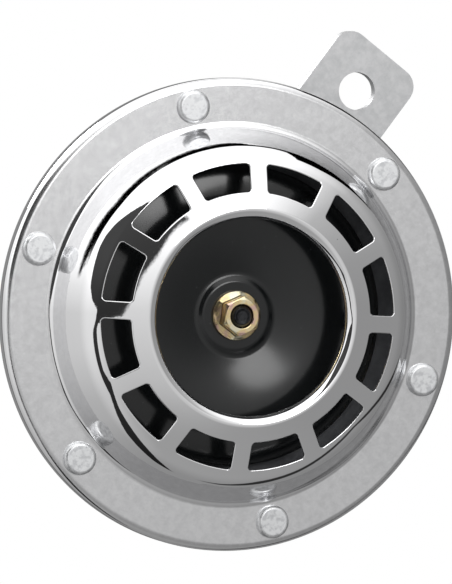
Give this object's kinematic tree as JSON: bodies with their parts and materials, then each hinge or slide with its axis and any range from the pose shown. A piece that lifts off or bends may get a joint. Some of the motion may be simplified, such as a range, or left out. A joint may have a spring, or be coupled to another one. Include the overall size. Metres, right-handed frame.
{
  "type": "car horn",
  "caption": "Electric disc horn: chromed windowed front grille over a dished black tone disc, riveted to a deep-drawn rear housing with a flat mounting strip.",
  "frame": {"origin": "centre of the bolt hole in the mounting strip, halfway through its thickness", "axes": "+Z from the horn up the mounting strip, -Y the way the horn faces, +X to the right seen from the front"},
  "size_m": [0.134, 0.0686, 0.1609],
  "materials": {
    "chrome_plate": "bright chromium plate on a steel pressing",
    "rivet_steel": "bright formed steel rivet",
    "black_paint": "satin black stove paint",
    "black_enamel": "semi-gloss black paint",
    "black_oxide": "blackened steel",
    "yellow_zinc": "yellow passivated zinc plate on steel",
    "satin_zinc": "satin zinc plate with light scratches",
    "zinc_plate": "clear zinc plate",
    "soft_iron": "turned soft iron",
    "spring_steel": "cold rolled spring steel",
    "gasket_fibre": "pressed gasket paper",
    "moulded_nylon": "moulded black nylon",
    "phenolic": "pressed phenolic sheet",
    "enamelled_copper": "enamelled copper wire",
    "brass_strip": "rolled brass",
    "tinned_brass": "tin plated brass",
    "contact_silver": "silver contact"
  },
  "bodies": {
    "horn": {"front_grille": "chrome_plate", "front_gasket": "gasket_fibre", "diaphragm": "spring_steel", "rear_gasket": "gasket_fibre", "rear_housing": "black_paint", "pole_core": "zinc_plate", "yoke_plate": "zinc_plate", "coil_bobbin": "moulded_nylon", "coil_winding": "enamelled_copper", "contact_base": "phenolic", "contact_arm": "spring_steel", "contact_spacer": "phenolic", "contact_bracket": "brass_strip", "contact_pad": "phenolic", "moving_contact": "contact_silver", "fixed_contact": "contact_silver", "adjusting_screw": "zinc_plate", "adjusting_locknut": "zinc_plate", "terminal_block": "moulded_nylon", "terminal_insulator": "phenolic", "terminal_blade_1": "tinned_brass", "terminal_blade_2": "tinned_brass", "terminal_rivet": "rivet_steel", "mounting_bracket": "satin_zinc", "bracket_washer": "zinc_plate", "bracket_nut": "zinc_plate", "coil_lead_1": "enamelled_copper", "coil_lead_2": "enamelled_copper", "coil_lead_3": "enamelled_copper", "contact_rivet_1": "rivet_steel", "contact_rivet_2": "rivet_steel", "flange_rivet_1": "rivet_steel", "flange_rivet_2": "rivet_steel", "flange_rivet_3": "rivet_steel", "flange_rivet_4": "rivet_steel", "flange_rivet_5": "rivet_steel", "flange_rivet_6": "rivet_steel", "yoke_rivet_1": "rivet_steel", "yoke_rivet_2": "rivet_steel", "yoke_rivet_3": "rivet_steel"},
    "tone_unit": {"armature": "soft_iron", "armature_stud": "black_oxide", "armature_washer": "zinc_plate", "diaphragm_washer": "zinc_plate", "tone_disc_spacer": "zinc_plate", "tone_disc": "black_enamel", "tone_disc_nut": "yellow_zinc"}
  },
  "joints": [
    {"name": "tone_unit_travel", "type": "slide", "parent": "horn", "child": "tone_unit", "axis": [0, -1, 0], "range_m": [-0.0005, 0.0005], "stiffness_N_per_m": 60000, "deforming": ["diaphragm", "contact_arm", "contact_pad", "moving_contact"]}
  ]
}
